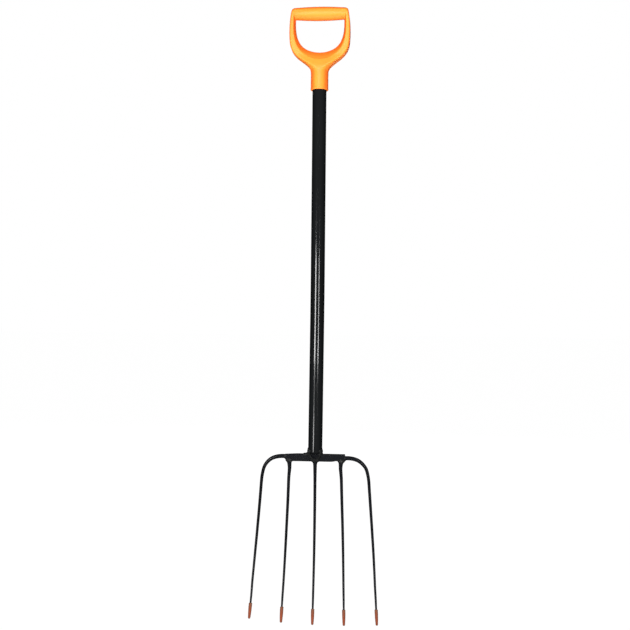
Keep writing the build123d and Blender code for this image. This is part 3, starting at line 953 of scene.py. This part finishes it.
def guard_plastic():
    s = Shader("guard_plastic_terracotta")
    a = s.noise(160.0, 4.0, 0.6)
    b = s.noise(900.0, 3.0, 0.55)
    long = s.noise(60.0, 4.0, 0.6, (1.0, 1.0, 0.3))
    col = s.ramp(long, [(0.30, (0.170, 0.038, 0.016)), (0.55, (0.203, 0.045, 0.0185)), (0.78, (0.238, 0.055, 0.024))])
    col = s.mix(s.range(a, 0.0, 0.22, 0.45, 0.75), col, (0.11, 0.035, 0.020))
    # scuffed and soiled towards the mouth, and at the very tip
    split = s.node("ShaderNodeSeparateXYZ")
    s.link(s.c.outputs["Generated"], split.inputs[0])
    soil = s.ramp(split.outputs[2], [(0.0, (0.75, 0.75, 0.75)), (0.10, (0.15, 0.15, 0.15)), (0.45, (0, 0, 0)), (0.72, (0.35, 0.35, 0.35)), (1.0, (0.85, 0.85, 0.85))])
    col = s.mix(soil, col, (0.135, 0.056, 0.030))
    geo = s.node("ShaderNodeNewGeometry")
    col = s.mix(s.range(geo.outputs["Pointiness"], 0.0, 0.3, 0.52, 0.62), col, (0.26, 0.075, 0.035))
    n = s.bump(b, 0.25, 0.00018)
    n = s.bump(a, 0.15, 0.0003, n)
    s.set(Base_Color=col, Roughness=s.range(a, 0.48, 0.66, 0.3, 0.7), Normal=n, IOR=1.48, Specular_IOR_Level=0.35)
    return s.m


M_ORANGE = orange_plastic()
M_TUBE = black_coat("painted_tube_gloss", base=(0.0027, 0.0029, 0.0030), rough=(0.105, 0.130), peel=0.003, spec=0.45)
M_HEAD = black_coat("painted_head_satin", base=(0.0026, 0.0027, 0.0032), rough=(0.20, 0.34), peel=0.08, spec=0.37, blue=0.0004, fleck=0.1)
M_WELD = weld_coat()
M_SCREW = screw_steel()
M_GUARD = guard_plastic()


def dress(ob, mat, slot, body, *nodes):
    ob.data.materials.clear()
    ob.data.materials.append(mat)
    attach(ob, body)
    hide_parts(*nodes)


dress(handle, M_ORANGE, "orange_plastic", "fork", "d_handle")
dress(screw, M_SCREW, "screw_steel", "fork", "handle_screw")
dress(tube, M_TUBE, "painted_tube", "fork", "shaft_tube")
dress(shaft_weld, M_WELD, "painted_weld", "fork", "shaft_weld")
dress(bar, M_HEAD, "painted_head", "fork", "head_crossbar")
for n in TIPS:
    dress(tines[n], M_HEAD, "painted_head", "fork", f"tine_{n}")
    dress(joint_welds[n], M_WELD, "painted_weld", "fork", f"weld_{n}")
    dress(guards[n], M_GUARD, "guard_plastic", f"guard_{n}", f"tip_guard_{n}")

# ==========================================================================
# floor, light and camera
# ==========================================================================
AMBIENT, GLOSS_FRONT, GLOSS_BACK = 0.20, 0.15, 0.015
scene = bpy.context.scene
bpy.ops.mesh.primitive_plane_add(size=60.0, location=(0, 0, -0.046))
floor = bpy.context.object
floor.name = "floor"
fm = Shader("floor_pale")
fn = fm.noise(3.0, 3.0, 0.5)
fm.set(Base_Color=fm.ramp(fn, [(0.3, (0.028, 0.028, 0.028)), (0.7, (0.034, 0.034, 0.034))]), Roughness=0.9, Specular_IOR_Level=0.0)
fm.set(Emission_Color=(1.0, 1.0, 1.0), Emission_Strength=0.99)
floor.data.materials.append(fm.m)
floor.visible_glossy = False
floor.visible_diffuse = False
floor.visible_shadow = False

world = bpy.data.worlds.new("studio")
scene.world = world
world.use_nodes = True
wt = world.node_tree
wt.nodes.clear()
wo = wt.nodes.new("ShaderNodeOutputWorld")
lp = wt.nodes.new("ShaderNodeLightPath")


def backdrop(strength):
    n = wt.nodes.new("ShaderNodeBackground")
    n.inputs[0].default_value = (1, 1, 1, 1)
    if isinstance(strength, float):
        n.inputs[1].default_value = strength
    else:
        wt.links.new(strength, n.inputs[1])
    return n


def ramp_of(sock, a, b, lo, hi):
    n = wt.nodes.new("ShaderNodeMapRange")
    n.interpolation_type = "SMOOTHSTEP"
    for k, v in (("From Min", a), ("From Max", b), ("To Min", lo), ("To Max", hi)):
        n.inputs[k].default_value = v
    wt.links.new(sock, n.inputs["Value"])
    return n.outputs[0]


def times(a, b, op="MULTIPLY"):
    n = wt.nodes.new("ShaderNodeMath")
    n.operation = op
    for k, v in enumerate((a, b)):
        if isinstance(v, float):
            n.inputs[k].default_value = v
        elif v is not None:
            wt.links.new(v, n.inputs[k])
    return n.outputs[0]


tc = wt.nodes.new("ShaderNodeTexCoord")
sep = wt.nodes.new("ShaderNodeSeparateXYZ")
wt.links.new(tc.outputs["Generated"], sep.inputs[0])
# what the gloss sees: a soft grey room, brighter in front, dim behind
ahead = ramp_of(sep.outputs["Y"], -0.95, 0.35, GLOSS_FRONT, GLOSS_BACK)
gloss = backdrop(ahead)
# what lights the matt surfaces: even, stronger from the white floor below
soft = backdrop(ramp_of(sep.outputs["Z"], -1.0, 1.0, AMBIENT * 2.2, AMBIENT * 0.9))
white = backdrop(1.0)
m1 = wt.nodes.new("ShaderNodeMixShader")
wt.links.new(lp.outputs["Is Glossy Ray"], m1.inputs[0])
wt.links.new(soft.outputs[0], m1.inputs[1])
wt.links.new(gloss.outputs[0], m1.inputs[2])
m2 = wt.nodes.new("ShaderNodeMixShader")
wt.links.new(lp.outputs["Is Camera Ray"], m2.inputs[0])
wt.links.new(m1.outputs[0], m2.inputs[1])
wt.links.new(white.outputs[0], m2.inputs[2])
wt.links.new(m2.outputs[0], wo.inputs[0])


def softbox(name, at, aim, w, h, power, glossy=True, diffuse=True):
    d = bpy.data.lights.new(name, "AREA")
    d.shape = "RECTANGLE"
    d.size, d.size_y = w, h
    d.energy = power
    o = bpy.data.objects.new(name, d)
    scene.collection.objects.link(o)
    o.location = at
    o.rotation_euler = (Vector(aim) - Vector(at)).to_track_quat("-Z", "Y").to_euler()
    o.visible_camera = False
    o.visible_glossy = glossy
    o.visible_diffuse = diffuse
    return o


def strip(name, azimuth, distance, z0, z1, width, radiance):
    """A narrow upright light; azimuth is from the line to the camera, + to its right."""
    a = math.radians(azimuth) + math.radians(4.6)
    at = (distance * math.sin(a), SHAFT_Y * MM - distance * math.cos(a), (z0 + z1) / 2)
    h = z1 - z0
    power = radiance * math.pi * width * h
    return softbox(name, at, (0, SHAFT_Y * MM, (z0 + z1) / 2), width, h, power)


# main light from the camera's side and a weaker one behind, neither seen in the gloss
softbox("key", (0.0, -3.0, 1.0), (0, 0, 0.75), 1.3, 1.1, 158, glossy=False)
softbox("fill_back", (0.5, 3.2, 1.3), (0, 0, 0.7), 2.6, 2.0, 110, glossy=False)
strip("strip_left_high", -32.0, 2.0, 0.700, 0.800, 0.56, 29.0)
strip("strip_left_upper", -32.0, 2.0, 0.800, 0.840, 0.46, 23.0)
strip("strip_left_top", -32.0, 2.0, 0.840, 0.870, 0.30, 4.0)
strip("strip_right_high", 21.5, 2.0, 0.704, 0.800, 0.36, 29.0)
strip("strip_right_upper", 21.5, 2.0, 0.800, 0.832, 0.20, 11.0)
# a wide soft sheen that only the moulded handle shows
sheen = softbox("sheen", (-0.15, -3.0, 1.55), (0, 0, 1.15), 1.6, 0.9, 38, diffuse=False)
only = bpy.data.collections.new("sheen_on")
only.objects.link(handle)
sheen.light_linking.receiver_collection = only
under = softbox("under", (0.0, -0.10, 0.35), (0, 0.0, 1.12), 0.8, 0.5, 5.2, glossy=False)
under.light_linking.receiver_collection = only
strip("strip_left_low", -31.5, 2.0, 0.345, 0.440, 0.42, 17.0)
strip("strip_left_mid", -31.5, 2.0, 0.440, 0.510, 0.36, 8.5)
strip("strip_left_dim", -31.5, 2.0, 0.510, 0.580, 0.30, 3.0)

cam_data = bpy.data.cameras.new("camera")
cam = bpy.data.objects.new("camera", cam_data)
scene.collection.objects.link(cam)
cam_data.sensor_width = 36.0
cam_data.lens = 975.0 / 630.0 * 36.0
cam_data.clip_start, cam_data.clip_end = 0.05, 100.0
cam_data.shift_x = -2.4 / 630.0
psi, roll = math.radians(4.6), 0.0094
fwd = Vector((-math.sin(psi), math.cos(psi), 0))
right = Vector((math.cos(psi), math.sin(psi), 0))
up = Vector((0, 0, 1))
r2 = right * math.cos(roll) + up * math.sin(roll)
u2 = up * math.cos(roll) - right * math.sin(roll)
place = Vector((0, SHAFT_Y * MM, 0.6029)) - fwd * 1.95
cam.matrix_world = Matrix(
    (
        (r2.x, u2.x, -fwd.x, place.x),
        (r2.y, u2.y, -fwd.y, place.y),
        (r2.z, u2.z, -fwd.z, place.z),
        (0, 0, 0, 1),
    )
)
scene.camera = cam
scene.view_settings.view_transform = "Standard"
